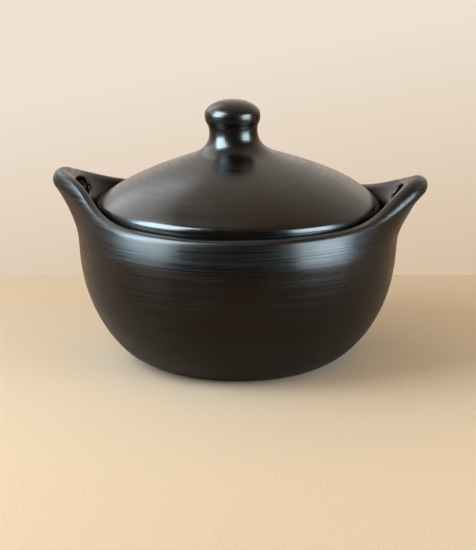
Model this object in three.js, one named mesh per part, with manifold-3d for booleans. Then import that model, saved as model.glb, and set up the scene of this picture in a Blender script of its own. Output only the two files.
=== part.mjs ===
// A covered casserole dish in burnished black earthenware: a round pot whose rim sweeps up into two
// pierced ear handles, and a domed lid with a knob that drops inside the rim and rests on a ledge.
// Millimetres, +Z up. The origin is the centre of the pot's flat base, and the ears lie along X.

import * as THREE from 'three';
import { mergeVertices } from 'three/addons/utils/BufferGeometryUtils.js';
import Module from 'manifold-3d';

// Pot: bowl
const BASE_RADIUS = 77; // flat disc that the pot stands on
const BODY_RADIUS = 126; // outside of the bowl where the belly has turned upright
const BELLY_HEIGHT = 96; // from the base up to that level
const BELLY_DIP = 8.5; // how far the belly's curve would run on below the flat base
const WALL_THICKNESS = 9.5;
const FLOOR_THICKNESS = 11;

// Pot: rim and the ledge inside it that carries the lid
const WALL_HEIGHT = 23.5; // upright wall from the belly to the top of the plain rim
const RIM_THICKNESS = 11.5;
const RIM_ROLL_WIDTH = 5; // rounded outer edge of the rim
const RIM_ROLL_HEIGHT = 8;
const EDGE_ROUND = 2; // inner edge of the rim and edge of the ledge
const LEDGE_DEPTH = 9; // below the top of the plain rim
const LEDGE_THICKNESS = 6; // at its inner edge
const HAUNCH_HEIGHT = 15; // rounded thickening under the ledge

// Pot: ear handles, drawn up and out of the rim
const EAR_REACH = 22; // outwards, at the tip of an ear
const EAR_REACH_SPREAD = 35; // sideways from the tip to where half of the reach is left
const EAR_REACH_TAPER = 3; // how sharply the reach ends beyond its spread
const EAR_RISE = 30.4; // upwards
const EAR_RISE_SPREAD = 50; // sideways from the tip to where half of the rise is left
const EAR_RISE_TAPER = 2.4; // the rise ends more gently than the reach
const EAR_FLARE = 0.35; // share of the outer wall's height that stays upright under an ear
const EAR_CUP = 0.45; // share of the inner face's height that stays upright
const GRIP_RADIUS = 7.5; // rolled edge that the fingers close on
const GRIP_WRAP = 51; // degrees, how far the roll turns under
const GRIP_SLANT = 26.5; // degrees, the top of the ear falls from the roll towards its inner edge
const GRIP_FACE = 4.6; // of that fall, seen from above
const GRIP_THICKNESS = 12; // from the outside of the roll to the finger slot
const SLOT_LENGTH = 34; // finger slot through the ear, along the rim
const SLOT_CROWN = 4; // its flat arch along the grip
const SLOT_BOW = 10; // its deeper bow below the arch
const SLOT_SLOPE = 15; // degrees, the slot runs down and outwards

// Lid: edge, seat and dome
const LID_CLEARANCE = 3; // all round, between the lid's edge and the rim
const SEAT_CLEARANCE = 0.3; // between the lid and the ledge that it rests on
const SEAT_WIDTH = 6; // of the lid's flat foot that lies over the ledge
const LID_FOOT_ROUND = 3; // lower round of the edge
const LID_EDGE_HEIGHT = 12.3; // upright edge, from the foot to where the dome turns in
const LID_RING_WIDTH = 15; // thick ring under the edge
const LID_RING_HEIGHT = 8; // inner face of that ring
const LID_THICKNESS = 10.5; // at the foot of the knob, measured straight down
const DOME_RISE = 39.9; // from the top of the edge to the foot of the knob
const DOME_SWELL = 15.5; // how far the dome is drawn out of a straight cone
const DOME_SHOULDER = 0.12; // share of the way up where it is drawn out
const DOME_TILT = 1.3; // degrees, the hand-raised lid stands higher at +X than at -X
const DOME_LEAN = 3; // degrees, the dome and its knob lean towards -X
const DOME_LEAN_POWER = 8; // keeps the edge in place, so that the lean starts inside it

// Lid: knob
const KNOB_FOOT_RADIUS = 36.3; // where the dome starts to sweep up into the neck
const KNOB_NECK_RADIUS = 18.8;
const KNOB_NECK_HEIGHT = 18.4; // from the foot to the narrowest point
const KNOB_RADIUS = 21.4;
const KNOB_UNDERSIDE = 13.5; // from the narrowest point to the widest
const KNOB_CROWN = 11.7; // from the widest point to the top

// Fineness of the surfaces
const POT_SEGMENTS = 76;
const POT_CROWDING = 0.3; // draws the pot's segments together at the ears
const LID_SEGMENTS = 56;
const SWEEP_STEPS = 8; // along a long curve
const DOME_STEPS = 12; // along the dome, which turns fast above its edge
const ROUND_STEPS = 5; // along a round or a fillet
const EDGE_STEPS = 2; // along a softened edge
const SLOT_STEPS = 28; // along each bow of the slot's outline
const WELD = 1e-4;

const wasm = await Module();
wasm.setup();

const radians = THREE.MathUtils.degToRad;
const lerp = THREE.MathUtils.lerp;
const point = (r, z) => new THREE.Vector2(r, z);

const rimHeight = BELLY_HEIGHT + WALL_HEIGHT;
const galleryRadius = BODY_RADIUS - RIM_THICKNESS;
const ledgeHeight = rimHeight - LEDGE_DEPTH;
const lidRadius = galleryRadius - LID_CLEARANCE;
const ledgeRadius = lidRadius - LID_FOOT_ROUND - SEAT_WIDTH;
const seat = ledgeHeight + SEAT_CLEARANCE;

const clay = () => new THREE.MeshStandardMaterial({ color: 0x262321, roughness: 0.4, metalness: 0 });

// Points along a chain of [curve, steps] pairs, with shared ends taken once.
function trace(chain) {
  const points = [chain[0][0].getPoint(0)];
  for (const [curve, steps] of chain) {
    points.push(...curve.getPoints(steps).slice(1));
  }
  return points;
}

const line = (from, to) => [new THREE.LineCurve(from, to), 1];
const bend = (from, corner, to, steps) => [new THREE.QuadraticBezierCurve(from, corner, to), steps];

function arc(centre, width, height, from, to, steps) {
  const clockwise = to < from;
  return [new THREE.EllipseCurve(centre.x, centre.y, width, height, from, to, clockwise), steps];
}

// The point that lies a given distance from one point towards another.
const towards = (from, to, distance) => from.clone().add(to.clone().sub(from).setLength(distance));

// How much of an ear there is at an angle round the rim: all at its tip, half at its spread, none midway.
function earShare(angle, spread, taper) {
  const along = Math.abs(Math.cos(angle)) ** taper;
  const across = Math.abs((Math.sin(angle) * BODY_RADIUS) / spread) ** taper;
  return along / (along + across);
}

// The belly's curve, a stretch of an ellipse that stands upright at BELLY_HEIGHT, moved in by a wall.
function belly(wall) {
  const tall = BELLY_HEIGHT + BELLY_DIP;
  const wide = (BODY_RADIUS - BASE_RADIUS) / (1 - Math.cos(Math.asin(BELLY_HEIGHT / tall)));
  const middle = point(BODY_RADIUS - wide, BELLY_HEIGHT);
  const turn = (z) => Math.asin((z - BELLY_HEIGHT) / (tall - wall));
  return {
    at: (z) => point(middle.x + (wide - wall) * Math.cos(turn(z)), z),
    between: (from, to) => arc(middle, wide - wall, tall - wall, turn(from), turn(to), SWEEP_STEPS),
  };
}

// The rolled edge of the rim at an angle: its middle, and its half width and half height.
function rimRoll(angle) {
  const ear = earShare(angle, EAR_RISE_SPREAD, EAR_RISE_TAPER);
  const outer = BODY_RADIUS + EAR_REACH * earShare(angle, EAR_REACH_SPREAD, EAR_REACH_TAPER);
  const top = rimHeight + EAR_RISE * ear;
  const width = lerp(RIM_ROLL_WIDTH, GRIP_RADIUS, ear);
  const height = lerp(RIM_ROLL_HEIGHT, GRIP_RADIUS, ear);
  return { ear, outer, width, height, middle: point(outer - width, top - height) };
}

// The pot cut through its axis at an angle: a line from the middle of the base round the rim to the floor.
function potSection(angle) {
  const { ear, width, height, middle } = rimRoll(angle);
  const outside = belly(0);
  const inside = belly(WALL_THICKNESS);
  const wrap = -radians(GRIP_WRAP) * Math.sqrt(ear);
  const slant = radians(GRIP_SLANT) * ear;
  const rollEnd = Math.PI / 2 + slant;
  const roll = (turn) => point(middle.x + width * Math.cos(turn), middle.y + height * Math.sin(turn));

  const upright = point(BODY_RADIUS, BELLY_HEIGHT);
  const underRoll = roll(wrap);
  const flare = point(BODY_RADIUS, lerp(upright.y, underRoll.y, EAR_FLARE));
  const rollTop = roll(rollEnd);
  const face = lerp(RIM_THICKNESS - RIM_ROLL_WIDTH, GRIP_FACE, ear);
  const edge = point(rollTop.x - face, rollTop.y - face * Math.tan(slant));

  const ledge = point(galleryRadius, ledgeHeight);
  const cup = point(galleryRadius, lerp(ledge.y, edge.y, EAR_CUP));
  const edgeTop = towards(edge, rollTop, EDGE_ROUND);
  const edgeSide = towards(edge, cup, EDGE_ROUND);
  const lip = point(ledgeRadius, ledgeHeight);
  const lipUnder = point(ledgeRadius, ledgeHeight - LEDGE_THICKNESS);
  const lipTop = towards(lip, ledge, EDGE_ROUND);
  const lipSide = towards(lip, lipUnder, EDGE_ROUND);
  const haunch = inside.at(lipUnder.y - HAUNCH_HEIGHT);
  const haunchTop = point(haunch.x, lipUnder.y - LEDGE_THICKNESS);
  const floor = inside.at(FLOOR_THICKNESS);
  return trace([
    line(point(0, 0), point(BASE_RADIUS, 0)),
    outside.between(0, BELLY_HEIGHT),
    bend(upright, flare, underRoll, ROUND_STEPS),
    arc(middle, width, height, wrap, rollEnd, SWEEP_STEPS),
    line(rollTop, edgeTop),
    bend(edgeTop, edge, edgeSide, EDGE_STEPS),
    bend(edgeSide, cup, ledge, ROUND_STEPS),
    line(ledge, lipTop),
    bend(lipTop, lip, lipSide, EDGE_STEPS),
    line(lipSide, lipUnder),
    bend(lipUnder, haunchTop, haunch, ROUND_STEPS),
    inside.between(haunch.y, floor.y),
    line(floor, point(0, FLOOR_THICKNESS)),
  ]);
}

// A lathe whose columns are drawn one by one: section(angle) gives the column's points at that angle.
function turned(section, segments, crowding = 0) {
  const lathe = new THREE.LatheGeometry(section(0), segments);
  const position = lathe.attributes.position;
  const rows = position.count / (segments + 1);
  for (let column = 0; column <= segments; column++) {
    const even = ((column % segments) / segments) * 2 * Math.PI;
    const angle = even - crowding * Math.sin(2 * even);
    section(angle).forEach((p, row) => {
      position.setXYZ(column * rows + row, p.x * Math.cos(angle), p.x * Math.sin(angle), p.y);
    });
  }
  return lathe;
}

function solid(geometry) {
  const bare = geometry.clone();
  bare.deleteAttribute('normal');
  bare.deleteAttribute('uv');
  const welded = mergeVertices(bare, WELD);
  return new wasm.Manifold(
    new wasm.Mesh({
      numProp: 3,
      vertProperties: welded.attributes.position.array,
      triVerts: new Uint32Array(welded.index.array),
    }),
  );
}

function named(name, body) {
  const { vertProperties, triVerts } = body.getMesh();
  const geometry = new THREE.BufferGeometry();
  geometry.setAttribute('position', new THREE.BufferAttribute(vertProperties, 3));
  geometry.setIndex(new THREE.BufferAttribute(triVerts, 1));
  geometry.computeVertexNormals();
  const mesh = new THREE.Mesh(geometry, clay());
  mesh.name = name;
  return mesh;
}

// The finger slot of one ear, as a solid to cut away. The roll above it stays GRIP_THICKNESS thick.
function slot(turn) {
  const { middle, outer } = rimRoll(0);
  const slope = radians(SLOT_SLOPE);
  const drop = GRIP_THICKNESS - GRIP_RADIUS + SLOT_CROWN;
  const reach = outer - ledgeRadius;
  const outline = new THREE.Shape();
  outline.absellipse(0, 0, SLOT_LENGTH / 2, SLOT_CROWN, 0, Math.PI);
  outline.absellipse(0, 0, SLOT_LENGTH / 2, SLOT_BOW, Math.PI, 2 * Math.PI);
  const cutter = new THREE.ExtrudeGeometry(outline, {
    depth: 2 * reach,
    bevelEnabled: false,
    curveSegments: SLOT_STEPS,
  });
  cutter.translate(0, 0, -reach);
  cutter.rotateX(Math.PI / 2);
  cutter.rotateZ(Math.PI / 2);
  cutter.rotateY(slope);
  cutter.translate(middle.x - drop * Math.sin(slope), 0, middle.y - drop * Math.cos(slope));
  cutter.rotateZ(turn);
  return solid(cutter);
}

function pot() {
  const shell = solid(turned(potSection, POT_SEGMENTS, POT_CROWDING));
  return named('pot', shell.subtract(slot(0)).subtract(slot(Math.PI)));
}

// The corner that draws the dome's slope out of a straight cone, between its edge and the foot of the knob.
function shoulder(edge, foot) {
  const climb = foot.clone().sub(edge);
  const out = point(climb.y, -climb.x).setLength(DOME_SWELL);
  return edge.clone().lerp(foot, DOME_SHOULDER).add(out);
}

// The lid cut through its axis, from the middle of its hollow round the edge to the top of the knob.
function lidSection() {
  const ring = point(lidRadius - LID_RING_WIDTH, seat);
  const heel = point(lidRadius - LID_FOOT_ROUND, seat + LID_FOOT_ROUND);
  const brow = point(lidRadius, seat + LID_EDGE_HEIGHT);
  const foot = point(KNOB_FOOT_RADIUS, brow.y + DOME_RISE);
  const dome = shoulder(brow, foot);
  const slope = (foot.y - dome.y) / (dome.x - foot.x);

  const neck = point(KNOB_NECK_RADIUS, foot.y + KNOB_NECK_HEIGHT);
  const sweep = point(neck.x, foot.y + (foot.x - neck.x) * slope);
  const head = point(KNOB_RADIUS, neck.y + KNOB_UNDERSIDE);
  const waist = neck.y + KNOB_UNDERSIDE / 2;
  const underside = new THREE.CubicBezierCurve(neck, point(neck.x, waist), point(head.x, waist), head);

  const hollowEdge = point(ring.x, ring.y + LID_RING_HEIGHT);
  const hollowFoot = point(foot.x, foot.y - LID_THICKNESS);
  const hollowTop = point(foot.x / 2, hollowFoot.y + (foot.x / 2) * slope);
  return trace([
    bend(point(0, hollowTop.y), hollowTop, hollowFoot, ROUND_STEPS),
    bend(hollowFoot, shoulder(hollowEdge, hollowFoot), hollowEdge, SWEEP_STEPS),
    line(hollowEdge, ring),
    line(ring, point(heel.x, seat)),
    arc(heel, LID_FOOT_ROUND, LID_FOOT_ROUND, -Math.PI / 2, 0, EDGE_STEPS),
    line(point(lidRadius, heel.y), brow),
    bend(brow, dome, foot, DOME_STEPS),
    bend(foot, sweep, neck, ROUND_STEPS),
    [underside, ROUND_STEPS],
    arc(point(0, head.y), KNOB_RADIUS, KNOB_CROWN, 0, Math.PI / 2, SWEEP_STEPS),
  ]);
}

// Tilts and leans the dome and knob over the seat, which stays level.
function leaned(geometry) {
  const position = geometry.attributes.position;
  for (let i = 0; i < position.count; i++) {
    const x = position.getX(i);
    const up = position.getZ(i) - seat;
    const out = Math.min(1, Math.hypot(x, position.getY(i)) / lidRadius);
    const share = Math.min(1, up / LID_EDGE_HEIGHT);
    const lean = Math.tan(radians(DOME_LEAN)) * share * (1 - out ** DOME_LEAN_POWER);
    position.setX(i, x - up * lean);
    position.setZ(i, seat + up + x * Math.tan(radians(DOME_TILT)) * share);
  }
  return geometry;
}

const lid = () => named('lid', solid(leaned(turned(lidSection, LID_SEGMENTS))));

const dish = new THREE.Group();
dish.add(pot());
dish.add(lid());

export default dish;
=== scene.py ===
# %% [markdown]
# This lesson dresses a covered casserole dish: a round pot of black burnished earthenware with two pierced
# ears, and a domed lid with a knob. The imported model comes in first. It fixes every size and says which
# piece moves with what, so each new piece is built in its place, around the origin at the middle of the
# pot's foot.

# %% Load the frame
import math

import bmesh
import bpy
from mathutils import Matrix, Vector, noise


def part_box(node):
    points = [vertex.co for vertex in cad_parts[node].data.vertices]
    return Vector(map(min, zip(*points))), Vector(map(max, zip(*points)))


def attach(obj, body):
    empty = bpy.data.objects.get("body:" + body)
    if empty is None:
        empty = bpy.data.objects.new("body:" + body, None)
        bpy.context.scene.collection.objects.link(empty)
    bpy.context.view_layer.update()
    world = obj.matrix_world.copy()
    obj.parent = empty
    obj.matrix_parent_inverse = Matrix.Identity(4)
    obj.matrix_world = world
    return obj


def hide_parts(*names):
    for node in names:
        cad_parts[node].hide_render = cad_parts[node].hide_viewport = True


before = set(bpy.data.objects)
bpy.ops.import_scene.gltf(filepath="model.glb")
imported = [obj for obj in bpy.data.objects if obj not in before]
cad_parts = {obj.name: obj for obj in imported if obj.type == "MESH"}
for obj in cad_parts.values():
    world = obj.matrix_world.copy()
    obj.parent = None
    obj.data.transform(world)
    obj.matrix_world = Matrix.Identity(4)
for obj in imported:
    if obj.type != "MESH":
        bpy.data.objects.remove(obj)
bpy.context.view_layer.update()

# %% [markdown]
# Potters measure in millimetres and Blender in metres. The sections below are drawn in millimetres, and the
# largest sizes are read off the model's two nodes, so that the drawn pieces can't drift away from it.

# %% Read the main sizes
MM = 0.001
pot_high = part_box("pot")[1] / MM
lid_low, lid_high = (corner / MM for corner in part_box("lid"))
BODY = pot_high.y
EAR_TIP = pot_high.x
EAR_TOP = pot_high.z
LID_RADIUS = lid_high.y
LID_FOOT = lid_low.z
KNOB_TOP = lid_high.z
print(f"body {2 * BODY:.0f} mm, over the ears {2 * EAR_TIP:.0f} mm, height {KNOB_TOP:.0f} mm")

# %% [markdown]
# The camera stands a little to the right of the middle and looks down at a gentle angle, from a step away.
# Its lens follows from how many pixels a thing of known size covers in a picture 550 pixels high, because
# Blender measures the sensor along the longer side.

# %% Set up the camera
PICTURE_HEIGHT = 550
SENSOR = 36
CAMERA_DISTANCE = 1250
CAMERA_TURN = math.radians(6)
CAMERA_RISE = math.radians(14)
CAMERA_AIM = Vector((0, 0, 65.6))
FOCAL_PIXELS = 1562

right = Vector((math.cos(CAMERA_TURN), math.sin(CAMERA_TURN), 0))
away = Vector((-math.sin(CAMERA_TURN), math.cos(CAMERA_TURN), 0))
up = Vector((0, 0, 1))
towards_camera = up * math.sin(CAMERA_RISE) - away * math.cos(CAMERA_RISE)

camera = bpy.data.objects.new("camera", bpy.data.cameras.new("camera"))
bpy.context.collection.objects.link(camera)
camera.data.sensor_width = SENSOR
camera.data.lens = FOCAL_PIXELS / PICTURE_HEIGHT * SENSOR
camera.location = (CAMERA_AIM + towards_camera * CAMERA_DISTANCE) * MM
camera.rotation_euler = (-towards_camera).to_track_quat("-Z", "Y").to_euler()
bpy.context.scene.camera = camera
bpy.context.scene.view_settings.view_transform = "Standard"
print(f"lens {camera.data.lens:.1f} mm, camera at", [round(c, 3) for c in camera.location])

# %% [markdown]
# Materials and the world are small graphs of nodes. Three helpers keep them readable: one turns a colour
# written as on a paint card, in sRGB, into the linear numbers that a shader works with, one clears the
# graph that Blender puts in first, and one adds a node, sets its options and joins its sockets.

# %% Helpers for colours and nodes
def shade(code):
    """An sRGB hex colour as linear red, green, blue and alpha."""
    parts = [int(code[i:i + 2], 16) / 255 for i in (1, 3, 5)]
    return [c / 12.92 if c <= 0.04045 else ((c + 0.055) / 1.055) ** 2.4 for c in parts] + [1]


def empty_tree(owner):
    """The node tree of a material or a world, switched on and emptied."""
    owner.use_nodes = True
    owner.node_tree.nodes.clear()
    return owner.node_tree


def add(tree, kind, inputs=None, ramp=None, **options):
    """Adds a node. An input is a plain value, a socket to link to, or a node, whose first output is linked.
    ramp holds the hex colours of a colour ramp by their positions."""
    node = tree.nodes.new(kind)
    for name, value in options.items():
        setattr(node, name, value)
    for name, value in (inputs or {}).items():
        if isinstance(value, bpy.types.Node):
            value = value.outputs[0]
        if isinstance(value, bpy.types.NodeSocket):
            tree.links.new(value, node.inputs[name])
        else:
            node.inputs[name].default_value = value
    if ramp:
        for stop, (position, code) in zip(node.color_ramp.elements, ramp.items()):
            stop.position, stop.color = position, shade(code)
    return node


print("half-way grey is", round(shade("#808080")[0], 3), "in linear light")

# %% [markdown]
# The dish stands on a plain tan table, with a cream wall behind it. The wall could be a mesh, but the
# world's own colour does as well and can't get in the way of a lamp. A world's Generated coordinate is the
# direction of a ray, so its upright part tells how high the ray meets the wall. The wall carries painted
# light: its colour is painted paler higher up and towards the left, and darker towards the table, as the
# light falls off. It fades between two heights that are negative, because the camera looks down.

# %% Paint the wall that the camera sees
WALL_LOW = "#d8c1a6"
WALL_HIGH = "#efe2d3"
FADE_START = -0.26
FADE_END = -0.1
FADE_LEFTWARDS = 0.2

world = bpy.data.worlds.new("cream wall")
bpy.context.scene.world = world
world_tree = empty_tree(world)
direction = add(world_tree, "ShaderNodeTexCoord").outputs["Generated"]
upwards = up - right * FADE_LEFTWARDS
climb = add(world_tree, "ShaderNodeVectorMath", {0: direction, 1: upwards}, operation="DOT_PRODUCT")
level = climb.outputs["Value"]
fade = add(world_tree, "ShaderNodeMapRange", {"Value": level, "From Min": FADE_START, "From Max": FADE_END})
# This ramp is the wall's painted light falloff: paler high up and to the left, darker towards the table.
painted_falloff = add(world_tree, "ShaderNodeValToRGB", {"Fac": fade}, ramp={0: WALL_LOW, 1: WALL_HIGH})
wall = add(world_tree, "ShaderNodeBackground", {"Color": painted_falloff})
print(f"{world.name} from {WALL_LOW} to {WALL_HIGH}")

# %% [markdown]
# Other rays see the wall in their own way, and Light Path tells them apart. In the gloss of the clay the
# wall lies up and away from the camera, warmer low down, and on the camera's own side there is a dim room.
# The further a ray goes wallward, the less it sees of the room. A photograph lifts what shines, so the wall
# is mirrored brighter than it is seen. The light that it sheds on matt surfaces is warm and stays low, so
# that the lamps do the modelling.

# %% Paint the wall that the dish sees
WALL_SHED = "#efd4b3"
WALL_LIGHT = 0.58
WALL_MIRRORED = "#ebe4dc"
MIRROR_GAIN = 1.52
WALLWARD = away * 0.8 + up * 0.6
DIM_ROOM = "#1c1814"
ROOM_END = -0.2
WALL_START = 0.7
WARM_LOW = "#b8936f"
PLAIN_HIGH = "#ffffff"
WARM_REACH = 0.2

rays = add(world_tree, "ShaderNodeLightPath").outputs
facing = add(world_tree, "ShaderNodeVectorMath", {0: direction, 1: WALLWARD}, operation="DOT_PRODUCT")
behind = add(world_tree, "ShaderNodeMapRange", {
    "Value": facing.outputs["Value"], "From Min": ROOM_END, "From Max": WALL_START})
room = add(world_tree, "ShaderNodeValToRGB", {"Fac": behind}, ramp={0: DIM_ROOM, 1: WALL_MIRRORED})
above = add(world_tree, "ShaderNodeMapRange", {
    "Value": level, "From Min": -WARM_REACH, "From Max": WARM_REACH})
warmth = add(world_tree, "ShaderNodeValToRGB", {"Fac": above}, ramp={0: WARM_LOW, 1: PLAIN_HIGH})
warmed = add(world_tree, "ShaderNodeMixRGB", {"Fac": 1, 1: room, 2: warmth}, blend_type="MULTIPLY")
mirrored = add(world_tree, "ShaderNodeBackground", {"Color": warmed, "Strength": MIRROR_GAIN})
shed = add(world_tree, "ShaderNodeBackground", {"Color": shade(WALL_SHED), "Strength": WALL_LIGHT})
shiny = add(world_tree, "ShaderNodeMath", {0: rays["Is Glossy Ray"], 1: rays["Is Transmission Ray"]})
unseen = add(world_tree, "ShaderNodeMixShader", {0: shiny, 1: shed, 2: mirrored})
either = add(world_tree, "ShaderNodeMixShader", {0: rays["Is Camera Ray"], 1: unseen, 2: wall})
add(world_tree, "ShaderNodeOutputWorld", {"Surface": either})
print(len(world_tree.nodes), "nodes in the world")

# %% [markdown]
# The table's matt board shows a fine speckle, drawn a little coarser than it is so that it can be seen at
# this distance. It has no gloss at all, so it takes the dish's shadow and mirrors no lamp. A noise texture
# gives values from 0 to 1, but few of them lie far from the middle, so its colours are spread over the part
# that is used.

# %% Matt tan board
SPECKLE = 1.1
BOARD_DARK = "#d8c7ab"
BOARD_PALE = "#ecddc6"
NOISE_LOW = 0.3
NOISE_HIGH = 0.7

board = bpy.data.materials.new("matt tan board")
tree = empty_tree(board)
place = add(tree, "ShaderNodeTexCoord").outputs["Object"]
speckle = add(tree, "ShaderNodeTexNoise", {"Vector": place, "Scale": 1 / SPECKLE / MM, "Detail": 2})
tan = add(tree, "ShaderNodeValToRGB", {"Fac": speckle}, ramp={NOISE_LOW: BOARD_DARK, NOISE_HIGH: BOARD_PALE})
matt = add(tree, "ShaderNodeBsdfPrincipled", {"Base Color": tan, "Roughness": 1, "Specular IOR Level": 0})
add(tree, "ShaderNodeOutputMaterial", {"Surface": matt})
print(board.name, "with specks of", SPECKLE, "mm")

# %% [markdown]
# The table itself is one flat sheet whose far edge runs level across the picture. It starts as a grid of a
# single face, and its corners are moved to their places.

# %% Make the table
TABLE_BACK = 263
TABLE_FRONT = 392
TABLE_SIDE = 2000


def placed(bm, name):
    """Turns a bmesh in metres into an object in the scene."""
    mesh = bpy.data.meshes.new(name)
    bm.to_mesh(mesh)
    bm.free()
    thing = bpy.data.objects.new(name, mesh)
    bpy.context.collection.objects.link(thing)
    return thing


bm = bmesh.new()
for corner in bmesh.ops.create_grid(bm, x_segments=1, y_segments=1, size=1)["verts"]:
    depth = TABLE_BACK if corner.co.y > 0 else -TABLE_FRONT
    corner.co = (right * corner.co.x * TABLE_SIDE + away * depth) * MM
table = placed(bm, "table")
table.data.materials.append(board)
print("table", [round(c, 2) for c in table.dimensions])

# %% [markdown]
# On a black, satin pot the lamps are seen as reflections more than as brightness, so their places follow
# from where the knob, the neck, the lid's edge and the rim shine: a tall soft box stands high on the left,
# a smaller one low on the right, and a fainter one behind on the left. A photograph deepens darks and lifts
# highlights, which Blender's Standard view doesn't do. So each box is hung as two lamps, one behind the
# other: one that only lights matt surfaces, at a plain level, and a brighter, bluer one that only shows in
# the gloss.

# %% Hang the lamps
DISH_MIDDLE = up * 120
LAMP_FAR = 900
LAMP_STEP = 50
DAYLIGHT = "#f4f9ff"
BLUE_SHINE = "#aad6ff"
PALE_SHINE = "#deefff"


def soft_box(name, turn, rise, wide, tall, light, shine, colour):
    """A lamp that faces the dish. Angles are in degrees, from the camera round to the right and from the
    table up, and sizes are in mm. light and shine say how many times brighter than white paper the lamp is,
    for matt surfaces and for gloss. colour is that of its shine."""
    turn, rise = math.radians(turn), math.radians(rise)
    towards_lamp = (right * math.sin(turn) - away * math.cos(turn)) * math.cos(rise) + up * math.sin(rise)
    for use, bright, tone, far in (("light", light, DAYLIGHT, LAMP_FAR + LAMP_STEP),
                                   ("shine", shine, colour, LAMP_FAR)):
        lamp = bpy.data.lights.new(f"{name} {use}", "AREA")
        lamp.shape = "RECTANGLE"
        lamp.size, lamp.size_y = wide * MM, tall * MM
        lamp.energy = bright * math.pi * lamp.size * lamp.size_y
        lamp.color = shade(tone)[:3]
        stand = bpy.data.objects.new(f"{name} {use}", lamp)
        stand.location = (DISH_MIDDLE + towards_lamp * far) * MM
        stand.rotation_euler = (-towards_lamp).to_track_quat("-Z", "Y").to_euler()
        stand.visible_camera = False
        stand.visible_glossy = use == "shine"
        stand.visible_diffuse = use == "light"
        bpy.context.collection.objects.link(stand)
    print(f"{name}: {wide} x {tall} mm at", [round(c, 2) for c in stand.location])


soft_box("left soft box", turn=-65, rise=28, wide=660, tall=840, light=4.9, shine=82, colour=BLUE_SHINE)
soft_box("right soft box", turn=59, rise=10, wide=540, tall=500, light=5.3, shine=62, colour=BLUE_SHINE)
soft_box("back soft box", turn=-122, rise=39, wide=900, tall=560, light=1, shine=3, colour=PALE_SHINE)

# %% [markdown]
# A round pot is its section, turned round an axis. The section is drawn with two kinds of line: arcs of an
# oval, and bows, which leave one point towards a corner and arrive at another from it. Each is asked for
# points at chosen shares of the way along it, so that rows fall where the shape needs them.

# %% Helpers for drawing sections
def bow(start, corner, end, shares):
    """Points on the curve from start to end that is drawn towards a corner."""
    return [start * (1 - t) ** 2 + corner * (2 * t * (1 - t)) + end * t ** 2 for t in shares]


def oval(centre, wide, tall, turns):
    """Points on an upright oval, at angles from its right-hand end."""
    return [centre + Vector((wide * math.cos(turn), tall * math.sin(turn))) for turn in turns]


def steps(start, end, count):
    """Even steps from start to end, without the start."""
    return [start + (end - start) * i / count for i in range(1, count + 1)]


print("half of a bow:", bow(Vector((0, 0)), Vector((1, 0)), Vector((1, 1)), [0.5])[0][:])

# %% [markdown]
# The pot's sizes come first. The belly is part of one upright oval, widest where the upright wall starts.
# It would close a little below the table, and the flat foot cuts it off, so the oval's width follows from
# the foot's radius.

# %% Note the pot's sizes
BASE = 77
BELLY = 96
BELLY_DIP = 8.5
BELLY_START = 1.2
WALL = 9.5
FLOOR = 11
RIM = 120.2
RIM_THICK = 11.5
RIM_ROLL = Vector((4.2, 6))
RIM_LEAN = 2.8
RIM_WRAP = math.radians(18)
GRIP = 7.5
GRIP_WRAP = math.radians(51)
GRIP_SLANT = math.radians(26.5)
GRIP_FACE = 4.6
EAR_FLARE = 0.35
EAR_CUP = 0.45
LID_GAP = 3
SEAT_GAP = 0.3
LEDGE = 12
LEDGE_THICK = 6
HAUNCH = 15
HUB = 2.5

belly_tall = BELLY + BELLY_DIP
belly_wide = (BODY - BASE) / (1 - math.sqrt(1 - (BELLY / belly_tall) ** 2))
belly_centre = Vector((BODY - belly_wide, BELLY))
print(f"belly's oval {belly_wide:.1f} by {belly_tall:.1f} mm")

# %% [markdown]
# The pot's section starts at the middle of the foot, climbs the belly and the upright wall, rolls over the
# rim, drops to the ledge that carries the lid, and follows the inside of the belly down to the floor. Two
# sections with the same rows are needed: the plain rim, and the tip of an ear, where the wall flares out
# under a thick rolled grip whose top slants inwards. BRINK and INNER, the two ends of the inner edge's
# rounding, hold one share for each. Two stretches of rows are kept by name, because the finger slot will be
# cut between them.

# %% Draw the pot's two sections
FOOT_ROWS = (HUB, 30, 58, BASE - 7, BASE - 2.5)
LEDGE_ROWS = (0.8, 4, LEDGE - 2.5, LEDGE - 0.5)
FLOOR_ROWS = (55, 28, HUB)
FLOOR_EDGE = 5
FLOOR_ROUND = 3
LIP_ROUND = 1.5
BRINK = (0.6, 0.2)
INNER = (0.08, 0.13)


def belly_turn(height, thick):
    """The angle on the belly's oval at a height, for the outside or, a wall's thickness in, the inside."""
    return math.asin((height - BELLY) / (belly_tall - thick))


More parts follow.
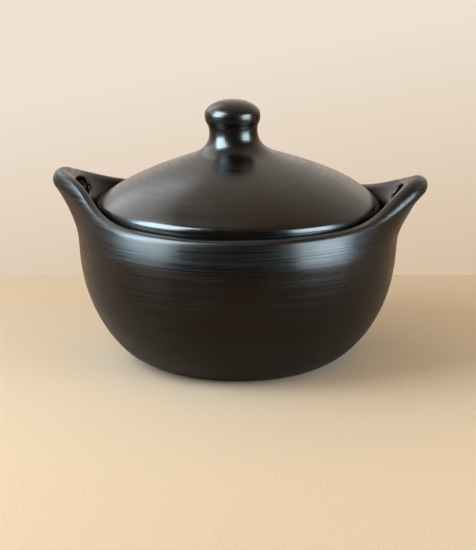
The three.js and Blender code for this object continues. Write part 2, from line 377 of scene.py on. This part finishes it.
def pot_section(ear):
    """Rows of the pot's section by name. ear is 0 on the plain rim and 1 at the tip of an ear."""
    def between(plain, tip):
        return plain + (tip - plain) * ear

    wide, tall = between(RIM_ROLL.x, GRIP), between(RIM_ROLL.y, GRIP)
    middle = Vector((between(BODY - RIM_LEAN, EAR_TIP) - wide, between(RIM, EAR_TOP) - tall))
    wrap, slant = between(RIM_WRAP, -GRIP_WRAP), GRIP_SLANT * ear

    def roll(*shares):
        return oval(middle, wide, tall, [wrap + (math.pi / 2 + slant - wrap) * share for share in shares])

    upright, under, over = Vector((BODY, BELLY)), roll(0)[0], roll(1)[0]
    flare = Vector((BODY, upright.y + (under.y - upright.y) * EAR_FLARE))
    face = between(RIM_THICK - RIM_ROLL.x - RIM_LEAN, GRIP_FACE)
    edge = over - Vector((face, face * math.tan(slant)))
    ledge = Vector((LID_RADIUS + LID_GAP, LID_FOOT - SEAT_GAP))
    cup = Vector((ledge.x, ledge.y + (edge.y - ledge.y) * EAR_CUP))
    brink = over.lerp(edge, between(*BRINK))
    inner = bow(edge, cup, ledge, [between(*INNER)])[0]
    lip = ledge - Vector((LEDGE, 0))
    lip_under = lip - Vector((0, LEDGE_THICK))
    haunch_turn = belly_turn(lip_under.y - HAUNCH, WALL)
    inside = (belly_centre, belly_wide - WALL, belly_tall - WALL)
    haunch = oval(*inside, [haunch_turn])[0]
    haunch_corner = Vector((haunch.x, lip_under.y - LEDGE_THICK))
    floor = oval(*inside, [belly_turn(FLOOR, WALL)])[0]
    return {
        "foot": [Vector((out, 0)) for out in FOOT_ROWS],
        "belly": oval(belly_centre, belly_wide, belly_tall, steps(belly_turn(BELLY_START, 0), 0, 10)),
        "wall": bow(upright, flare, under, (0.2, 0.4, 0.58, 0.72)),
        "slot outside": bow(upright, flare, under, (0.8, 0.88, 0.94, 1)),
        "roll": roll(0.13, 0.27, 0.41, 0.56, 0.7, 0.85, 1),
        "edge": bow(brink, edge, inner, (0, 0.35, 0.7, 1)),
        "slot inside": bow(edge, cup, ledge, (0.2, 0.29, 0.38, 0.47)),
        "cup": bow(edge, cup, ledge, (0.6, 0.78, 0.94)),
        "ledge": [ledge - Vector((inwards, 0)) for inwards in LEDGE_ROWS],
        "lip": [lip - Vector((0, LIP_ROUND)), lip_under],
        "haunch": bow(lip_under, haunch_corner, haunch, (0.3, 0.6, 1)),
        "inside": oval(*inside, steps(haunch_turn, belly_turn(FLOOR + FLOOR_ROUND, WALL), 8)),
        "floor": [Vector((out, FLOOR)) for out in (floor.x - FLOOR_EDGE, *FLOOR_ROWS)],
    }


plain = sum(pot_section(0).values(), [])
tip = sum(pot_section(1).values(), [])
print(len(plain), "rows, from", plain[0][:], "to", plain[-1][:])

# %% [markdown]
# Spinning the plain section makes the whole bowl at once. Every point remembers its row, so that it can be
# moved later by how far the ear's section differs from the plain one in that row. The middles of the foot
# and of the floor are left as small round holes, whose radius is HUB, and filled with one face each, which
# subdivides more evenly than a fan of triangles.

# %% Spin the pot
COLUMNS = 96


def spun(section, columns):
    """A bmesh of a section in mm, spun round the upright axis. Its layer "row" keeps each point's row."""
    bm = bmesh.new()
    rows = bm.verts.layers.int.new("row")
    line = [bm.verts.new((p.x, 0, p.y)) for p in section]
    for number, point in enumerate(line):
        point[rows] = number
    edges = [bm.edges.new(pair) for pair in zip(line, line[1:])]
    bmesh.ops.spin(bm, geom=line + edges, cent=(0, 0, 0), axis=(0, 0, 1), angle=math.tau, steps=columns,
                   use_merge=True)
    bmesh.ops.remove_doubles(bm, verts=bm.verts, dist=0.01)
    bmesh.ops.holes_fill(bm, edges=[edge for edge in bm.edges if edge.is_boundary], sides=0)
    bmesh.ops.recalc_face_normals(bm, faces=bm.faces)
    return bm


pot = spun(plain, COLUMNS)
print(len(pot.verts), "points,", len(pot.faces), "faces")

# %% [markdown]
# Now the ears are drawn out, as a potter pulls a wet rim. How much of the ear a column gets falls off round
# the pot from each tip, the pull outwards sooner than the pull upwards. Hands aren't exact: one ear stands
# a little higher than the other, and the four flanks of the two ears run out each in its own way. Each pair
# of numbers below is how far a pull spreads, in millimetres, and how sharply it then falls off.

# %% Work out the pull of the ears
REACH = (35, 3)
LEFT_NEAR, LEFT_FAR = (60, 3.4), (53, 1.7)
RIGHT_NEAR, RIGHT_FAR = (38, 3), (51, 1.7)
EAR_TILT = 0.027


def ear_share(angle, spread, taper):
    """How much of an ear there is at an angle round the pot: 1 at a tip, 0 half way between the tips."""
    along = abs(math.cos(angle)) ** taper
    across = abs(math.sin(angle) * BODY / spread) ** taper
    return along / (along + across)


def rise_share(angle):
    """The same for the pull upwards, which differs from flank to flank."""
    near, far = (RIGHT_NEAR, RIGHT_FAR) if math.cos(angle) > 0 else (LEFT_NEAR, LEFT_FAR)
    return ear_share(angle, *(near if math.sin(angle) < 0 else far))


def pot_point(row, angle):
    """Where a row lies at an angle round the pot, in mm. A row may be a fraction, between two rows."""
    first = min(int(row), len(plain) - 2)
    here = plain[first].lerp(plain[first + 1], row - first)
    pull = tip[first].lerp(tip[first + 1], row - first) - here
    out = here.x + pull.x * ear_share(angle, *REACH) * (1 + EAR_TILT * math.cos(angle))
    high = here.y + pull.y * rise_share(angle) * (1 - EAR_TILT * math.cos(angle))
    return Vector((out * math.cos(angle), out * math.sin(angle), high))


for side, angle in (("right", 0), ("left", math.pi)):
    print(side, "ear", round(max(pot_point(row, angle).z for row in range(len(plain))), 1), "mm high")

# %% [markdown]
# A hole could be cut with a boolean, but that leaves slivers which subdivide badly. So round each finger
# slot the grid of points flows from a rectangle to an oval, flatter under the grip, and the slot can later
# be cut along the grid's own lines. Its size is counted in columns and rows from its middle.

# %% Lay out the finger slots
SLOT_COLUMNS = 4
SLOT_ROWS = 2
SLOT_FLOW = 2
FLAT_SIDE = 0.4

starts, count = {}, 0
for name, stretch in pot_section(0).items():
    starts[name] = count
    count += len(stretch)
slot_middles = {name: starts[name] - 1 + SLOT_ROWS for name in ("slot outside", "slot inside")}


def round_the_slot(across, along, grip_side):
    """Moves a place on the slot's grid, where the slot is the square from -1 to 1, towards an oval."""
    size = max(abs(across), abs(along), 0.01)
    flow = min(1, max(0, (SLOT_FLOW - size) / (SLOT_FLOW - 1)))
    if flow == 0:
        return across, along
    bite = (FLAT_SIDE if along * grip_side > 0 else 1) / 2 / size ** 2
    return (across * (1 + flow * (math.sqrt(1 - bite * along ** 2) - 1)),
            along * (1 + flow * (math.sqrt(1 - bite * across ** 2) - 1)))


print("middle rows:", slot_middles)

# %% [markdown]
# With that, every point goes to its place. Columns crowd together at the ears, where the shape turns
# fastest, and the points inside each slot are noted for the cut.

# %% Draw out the ears
CROWDING = 0.27
HALF_ROUND = COLUMNS // 2
QUARTER_ROUND = COLUMNS // 4

slots = {(ear, name): [] for ear in (0, 1) for name in slot_middles}
pot_rows = pot.verts.layers.int["row"]
for point in pot.verts:
    column = round(math.atan2(point.co.y, point.co.x) / math.tau * COLUMNS) + QUARTER_ROUND
    ear = column // HALF_ROUND % 2
    column = column % HALF_ROUND - QUARTER_ROUND
    row = point[pot_rows]
    for name, middle in slot_middles.items():
        if max(abs(column) / SLOT_COLUMNS, abs(row - middle) / SLOT_ROWS) <= 1:
            slots[ear, name].append(point)
        if abs(row - middle) < SLOT_FLOW * SLOT_ROWS and abs(column) < SLOT_FLOW * SLOT_COLUMNS:
            grip_side = 1 if name == "slot outside" else -1
            column, along = round_the_slot(column / SLOT_COLUMNS, (row - middle) / SLOT_ROWS, grip_side)
            column, row = column * SLOT_COLUMNS, middle + along * SLOT_ROWS
            break
    even = column / COLUMNS * math.tau
    point.co = pot_point(row, ear * math.pi + even - CROWDING * math.sin(2 * even))
print({name: len(points) for name, points in slots.items()})

# %% [markdown]
# Each finger slot is cut like a window. The faces inside the oval are deleted on the outer and on the inner
# side of the ear, the two round edges are bridged into a tunnel, and its sharp rims are bevelled, as a wet
# finger softens a cut in clay.

# %% Pierce the finger slots
SLOT_SOFTENING = 2.2

for ear in (0, 1):
    rims = []
    for name in slot_middles:
        corners = set(slots[ear, name])
        window = [face for face in pot.faces if corners.issuperset(face.verts)]
        rims += [edge for edge in pot.edges if sum(face in window for face in edge.link_faces) == 1]
        bmesh.ops.delete(pot, geom=window, context="FACES")
    bmesh.ops.bridge_loops(pot, edges=rims)
    bmesh.ops.bevel(pot, geom=rims, offset=SLOT_SOFTENING, offset_type="OFFSET", segments=2, profile=0.5,
                    affect="EDGES", material=-1)
bmesh.ops.recalc_face_normals(pot, faces=pot.faces)
print(len(pot.faces), "faces, open edges:", sum(edge.is_boundary for edge in pot.edges))

# %% [markdown]
# Hand-built clay is never quite true. A slow, shallow noise with a finer ripple on it pushes the skin in
# and out by a fraction of a millimetre, which is enough to make the long reflections waver. The foot and
# the ledge stay flat, because other things rest on them.

# %% Make the clay waver
WAVER = 0.45
WAVER_LENGTH = 55
RIPPLE = 0.4
RIPPLE_FINER = 2.3
FOOT_STILL = 1
FOOT_FADE = 12
SEAT_MIDDLE = 107
SEAT_HALF = 7
SEAT_STILL = 2
SEAT_FADE = 6


def waver(bm, amount):
    """Pushes points along their normals by slow noise, in mm. amount(place) scales the push at a place."""
    bm.normal_update()
    for point in bm.verts:
        place = point.co / WAVER_LENGTH
        push = noise.noise(place) + RIPPLE * noise.noise(place * RIPPLE_FINER)
        point.co += point.normal * push * WAVER * amount(point.co)


def clear_of_seat(co):
    """1 on free skin, 0 on the foot and where the lid and the pot meet."""
    beside = max(0, abs(math.hypot(co.x, co.y) - SEAT_MIDDLE) - SEAT_HALF)
    from_seat = math.hypot(beside, co.z - LID_FOOT)
    return min(1, max(0, co.z - FOOT_STILL) / FOOT_FADE, max(0, from_seat - SEAT_STILL) / SEAT_FADE)


waver(pot, clear_of_seat)
print(f"skin pushed by up to {WAVER * (1 + RIPPLE):.1f} mm")

# %% [markdown]
# A Subdivision Surface then rounds everything between the rows. It stays live, with as many levels in the
# view as in the render.

# %% Finish the pot
def finished(bm, name, levels):
    """Turns a bmesh in mm into a smooth object in metres, with live subdivision."""
    bmesh.ops.scale(bm, vec=(MM, MM, MM), verts=bm.verts)
    for face in bm.faces:
        face.smooth = True
    piece = placed(bm, name)
    smooth = piece.modifiers.new("smooth clay", "SUBSURF")
    smooth.levels = smooth.render_levels = levels
    print(name, len(piece.data.polygons), "faces before subdivision")
    return piece


pot_shell = finished(pot, "pot_shell", levels=2)

# %% [markdown]
# The lid is another spun section, and its sizes come first: the ring that rests on the ledge, the rounded
# edge, the dome, and the knob on its neck. The dome isn't part of a circle. It climbs steeply from the edge
# and flattens towards the neck, so it is a bow too.

# %% Note the lid's sizes
RING = 15
RING_HIGH = 8
RING_SOFTENING = 1.5
FOOT_ROUND = 3
EDGE_HIGH = 12.3
EDGE_ROUND = 6
EDGE_TURN = math.radians(42)
DOME_CLIMB = math.tan(math.radians(44))
DOME_RISE = 39.9
DOME_SWELL = 15.5
DOME_SHOULDER = 0.12
DOME_THICK = 10.5
KNOB_FOOT = 36.3
NECK = 18.8
NECK_HIGH = 18.4
KNOB = 22
KNOB_UNDER = 13.5
KNOB_CROWN = 11.7
KNOB_CLOSE = math.radians(84)
WAIST_BEND = 1
print(f"lid {2 * LID_RADIUS:.0f} mm across, knob {2 * KNOB:.0f} mm")

# %% [markdown]
# The section runs from the middle of the hollow down to the ring, round the ring's foot, up over the edge
# and the dome, in at the neck and over the knob. The hollow follows the dome a wall's thickness below.

# %% Draw the lid's section
RING_ROW = 6
EDGE_ROW = 4


def shoulder(edge, foot):
    """The corner that a dome's bow is drawn towards, out from the straight line between its ends."""
    climb = foot - edge
    return edge.lerp(foot, DOME_SHOULDER) + Vector((climb.y, -climb.x)).normalized() * DOME_SWELL


def lid_section():
    """Rows of the lid's section, from the middle of the hollow to the top of the knob."""
    heel = Vector((LID_RADIUS - FOOT_ROUND, LID_FOOT + FOOT_ROUND))
    brow = Vector((LID_RADIUS, LID_FOOT + EDGE_HIGH))
    foot = Vector((KNOB_FOOT, brow.y + DOME_RISE))
    dome = shoulder(brow, foot)
    slope = (foot.y - dome.y) / (dome.x - foot.x)
    crest = brow + Vector((math.cos(EDGE_TURN) - 1, math.sin(EDGE_TURN))) * EDGE_ROUND
    bend_out = (crest.y + crest.x * DOME_CLIMB - foot.y - foot.x * slope) / (DOME_CLIMB - slope)
    bend = Vector((bend_out, foot.y - (bend_out - foot.x) * slope))
    neck = Vector((NECK, foot.y + NECK_HIGH))
    sweep = Vector((NECK, foot.y + (foot.x - NECK) * slope))
    head = Vector((KNOB, neck.y + KNOB_UNDER))
    waist = Vector(((NECK + KNOB) / 2, neck.y + KNOB_UNDER / 2))
    ring = Vector((LID_RADIUS - RING, LID_FOOT))
    hollow_edge = ring + Vector((0, RING_HIGH))
    hollow_foot = foot - Vector((0, DOME_THICK))
    hollow_top = Vector((foot.x / 2, hollow_foot.y + foot.x / 2 * slope))
    soft_in, soft_up = Vector((RING_SOFTENING, 0)), Vector((0, RING_SOFTENING))
    return (
        bow(Vector((0, hollow_top.y)), hollow_top, hollow_foot, (0.08, 0.35, 0.7, 1))
        + bow(hollow_foot, shoulder(hollow_edge, hollow_foot), hollow_edge, (0.2, 0.4, 0.6, 0.8, 0.95))
        + [hollow_edge - soft_up, ring + soft_up, ring + soft_in]
        + [Vector((ring.x + RING_ROW, LID_FOOT)), Vector((heel.x, LID_FOOT))]
        + oval(heel, FOOT_ROUND, FOOT_ROUND, steps(-math.pi / 2, 0, 3))
        + [Vector((LID_RADIUS, brow.y - EDGE_ROW))]
        + oval(brow - Vector((EDGE_ROUND, 0)), EDGE_ROUND, EDGE_ROUND, [0] + steps(0, EDGE_TURN, 3))
        + bow(crest, bend, foot, (0.05, 0.13, 0.24, 0.38, 0.55, 0.77, 1))
        + bow(foot, sweep, neck, steps(0, 1, 6))
        + bow(neck, Vector((NECK, waist.y - WAIST_BEND)), waist, (0.5, 1))
        + bow(waist, Vector((KNOB, waist.y + WAIST_BEND)), head, (0.5, 1))
        + oval(Vector((0, head.y)), KNOB, KNOB_CROWN, steps(0, KNOB_CLOSE, 7))
    )


print(len(lid_section()), "rows in the lid")

# %% [markdown]
# On the real lid the dome is a little higher on one side and leans with its knob towards the other, so the
# spun mesh is tilted, and sheared by height. Both fade out towards the rounded edge, which tips slightly
# the other way, and the ring below it stays level on its seat.

# %% Spin and tilt the lid
LID_COLUMNS = 72
DOME_TILT = math.tan(math.radians(1.3))
DOME_LEAN = math.tan(math.radians(3))
EDGE_BACK = 1.5
EDGE_FALL = 8

lid = spun(lid_section(), LID_COLUMNS)
for point in lid.verts:
    rise = point.co.z - LID_FOOT
    out = min(1, math.hypot(point.co.x, point.co.y) / LID_RADIUS)
    share = min(1, rise / EDGE_HIGH) * (1 - EDGE_BACK * out ** EDGE_FALL)
    point.co += Vector((-rise * DOME_LEAN, 0, point.co.x * DOME_TILT)) * share
waver(lid, clear_of_seat)
lid_shell = finished(lid, "lid_shell", levels=2)

# %% [markdown]
# The clay is earthenware that was rubbed with a smooth stone when leather-hard, and then smoked black in
# the kiln. Rubbing leaves a satin skin of fine strokes that run round the pot, glossier where the stone
# passed and duller between. The smoke goes deep, so the colour is a warm near-black with faint clouds, and
# small dull pits stay where grit was pulled out. Near the foot, where a stone is hard to use, the skin is
# duller. Lengths are in millimetres, and each DULL is added to the roughness.

# %% Note what the clay shows
CLAY_DARK = "#090605"
CLAY_PALE = "#0d0906"
GLOSS_TINT = "#ffdfc0"
STROKE_WIDE = 1.1
STROKE_LONG = 80
STROKE_DEEP = 0.15
STROKE_RELIEF = 0.45
CLOUD = 40
CLOUD_LOW = 0.35
CLOUD_HIGH = 0.65
CLOUD_DULL = 0.04
# The clay's own grain is finer than the picture shows, so it is drawn this coarse.
GRIT = 1.2
GRIT_DEEP = 0.12
GRIT_RELIEF = 0.08
PIT_SPACING = 24
PIT_HEART = 0.48
PIT_EDGE = 0.84
PIT_DULL = 0.5
FOOT_DULL = 0.2
FOOT_DULL_LOW = 10
FOOT_DULL_HIGH = 85
print(f"strokes {STROKE_WIDE} mm wide and {STROKE_LONG} mm long, a pit about every {PIT_SPACING} mm")

# %% [markdown]
# Strokes, clouds and grain are each a noise at its own scale, and the strokes' noise is stretched level, so
# that it runs round the pot. The pits are the middles of scattered cells. What changes the gloss goes into
# the roughness, and what a finger would feel goes into the bump. Fired clay has an index of refraction of
# about 1.5. A lower one is matched here, because a photograph deepens the black between the highlights. The
# lid was rubbed more than the pot, so one function makes two skins.

# %% Burnished smoke-blackened earthenware
def burnished_clay(glossy, dull, gleam):
    """A satin black skin: strokes in its gloss and relief, clouds in its colour, dull pits and a dull foot.
    glossy and dull are the roughness on and between the strokes, and gleam is the index of refraction."""
    material = bpy.data.materials.new("burnished smoke-blackened earthenware")
    tree = empty_tree(material)
    place = add(tree, "ShaderNodeTexCoord").outputs["Object"]
    height = add(tree, "ShaderNodeSeparateXYZ", {0: place}).outputs["Z"]
    along = add(tree, "ShaderNodeMapping", {
        "Vector": place, "Scale": (1 / STROKE_LONG / MM, 1 / STROKE_LONG / MM, 1 / STROKE_WIDE / MM)})
    strokes = add(tree, "ShaderNodeTexNoise", {"Vector": along, "Scale": 1, "Detail": 3, "Roughness": 0.6})
    clouds = add(tree, "ShaderNodeTexNoise", {
        "Vector": place, "Scale": 1 / CLOUD / MM, "Detail": 4, "Roughness": 0.55})
    grit = add(tree, "ShaderNodeTexNoise", {"Vector": place, "Scale": 1 / GRIT / MM, "Detail": 2})
    cells = add(tree, "ShaderNodeTexVoronoi", {"Vector": place, "Scale": 1 / PIT_SPACING / MM})

    colour = add(tree, "ShaderNodeValToRGB", {"Fac": clouds},
                 ramp={NOISE_LOW: CLAY_DARK, NOISE_HIGH: CLAY_PALE})

    rough = add(tree, "ShaderNodeMapRange", {
        "Value": strokes, "From Min": NOISE_LOW, "From Max": NOISE_HIGH, "To Min": glossy, "To Max": dull})
    foot = add(tree, "ShaderNodeMapRange", {
        "Value": height, "From Min": FOOT_DULL_LOW * MM, "From Max": FOOT_DULL_HIGH * MM,
        "To Min": FOOT_DULL, "To Max": 0})
    patchy = add(tree, "ShaderNodeMapRange", {
        "Value": clouds, "From Min": CLOUD_LOW, "From Max": CLOUD_HIGH,
        "To Min": -CLOUD_DULL, "To Max": CLOUD_DULL})
    pits = add(tree, "ShaderNodeMapRange", {
        "Value": cells, "From Min": PIT_HEART / PIT_SPACING, "From Max": PIT_EDGE / PIT_SPACING,
        "To Min": PIT_DULL, "To Max": 0})
    for more in (foot, patchy, pits):
        rough = add(tree, "ShaderNodeMath", {0: rough, 1: more}, use_clamp=True)

    relief = add(tree, "ShaderNodeBump", {
        "Height": strokes, "Strength": STROKE_RELIEF, "Distance": STROKE_DEEP * MM})
    grain = add(tree, "ShaderNodeBump", {
        "Height": grit, "Strength": GRIT_RELIEF, "Distance": GRIT_DEEP * MM, "Normal": relief})
    clay = add(tree, "ShaderNodeBsdfPrincipled", {
        "Base Color": colour, "Roughness": rough, "Normal": grain, "IOR": gleam,
        "Specular Tint": shade(GLOSS_TINT)})
    add(tree, "ShaderNodeOutputMaterial", {"Surface": clay})
    return material


pot_shell.data.materials.append(burnished_clay(glossy=0.23, dull=0.42, gleam=1.29))
lid_shell.data.materials.append(burnished_clay(glossy=0.2, dull=0.3, gleam=1.34))
print("clay on", [piece.name for piece in (pot_shell, lid_shell)])

# %% [markdown]
# Last, each shell is hung on the empty of its body, pot or lid, so that it moves with it, and the imported
# part that it stands for is hidden.

# %% Hand the pieces over
for piece, node in ((pot_shell, "pot"), (lid_shell, "lid")):
    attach(piece, node)
    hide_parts(node)
